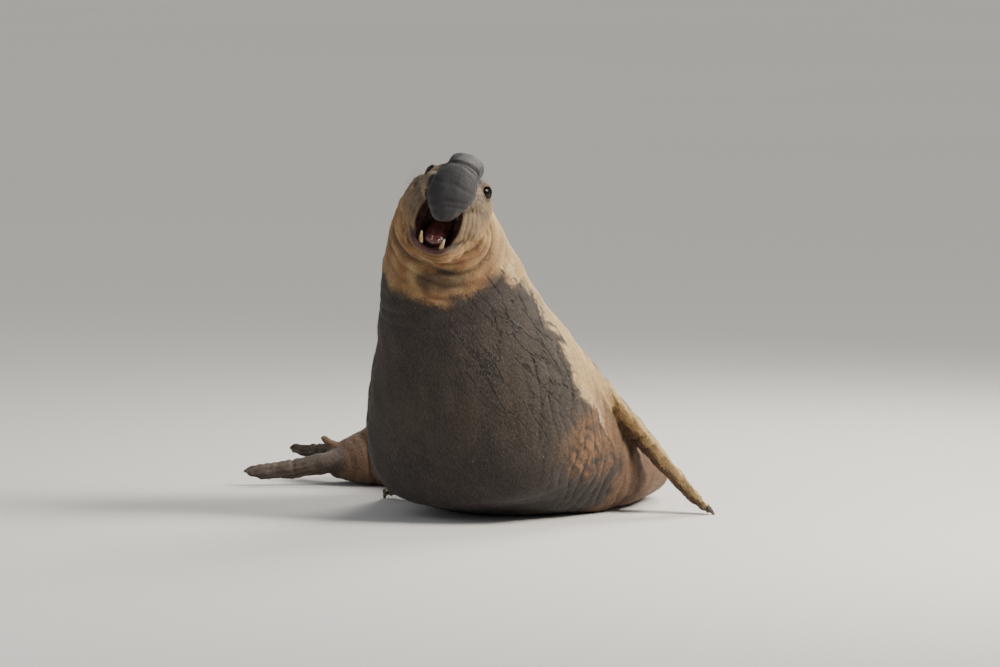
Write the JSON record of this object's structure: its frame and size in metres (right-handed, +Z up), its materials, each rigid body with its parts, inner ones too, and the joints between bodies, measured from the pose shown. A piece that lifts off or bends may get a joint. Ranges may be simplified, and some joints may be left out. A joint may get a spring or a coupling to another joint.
{
  "type": "southern elephant seal",
  "caption": "Life-size still model of a bull southern elephant seal, reared up on its chest with its head thrown back, roaring, its hindquarters curled round to its right",
  "frame": {"origin": "on the floor, under the middle of the whole animal's box", "axes": "+Z up; -Y is the way the chest faces; +X is the animal's left; its hindquarters curl round to -X"},
  "size_m": [3.0464, 3.0072, 2.0623],
  "materials": {
    "coat": "short dry fur, tan to cream, darker in the folds",
    "shield": "dark grey-brown chest with cracked and scarred hide",
    "nose_skin": "bare dark slate-grey skin, slightly moist",
    "flipper_skin": "grey-brown skin with a paler leading edge",
    "mouth_flesh": "wet pink-red flesh",
    "eye": "wet black-brown eye",
    "tooth": "smooth ivory, stained at the root"
  },
  "bodies": {
    "root": {"head": "coat", "lower_jaw": "coat", "neck": "coat", "chest": "shield", "trunk": "coat", "hindquarters": "coat", "eye_left": "eye", "eye_right": "eye", "proboscis": "nose_skin", "tongue": "mouth_flesh", "lower_canine_left": "tooth", "upper_canine_left": "tooth", "lower_canine_right": "tooth", "upper_canine_right": "tooth", "fore_flipper_left": "flipper_skin", "fore_flipper_right": "flipper_skin", "tail": "flipper_skin", "hind_flipper_right": "flipper_skin", "hind_flipper_left": "flipper_skin"}
  },
  "joints": []
}
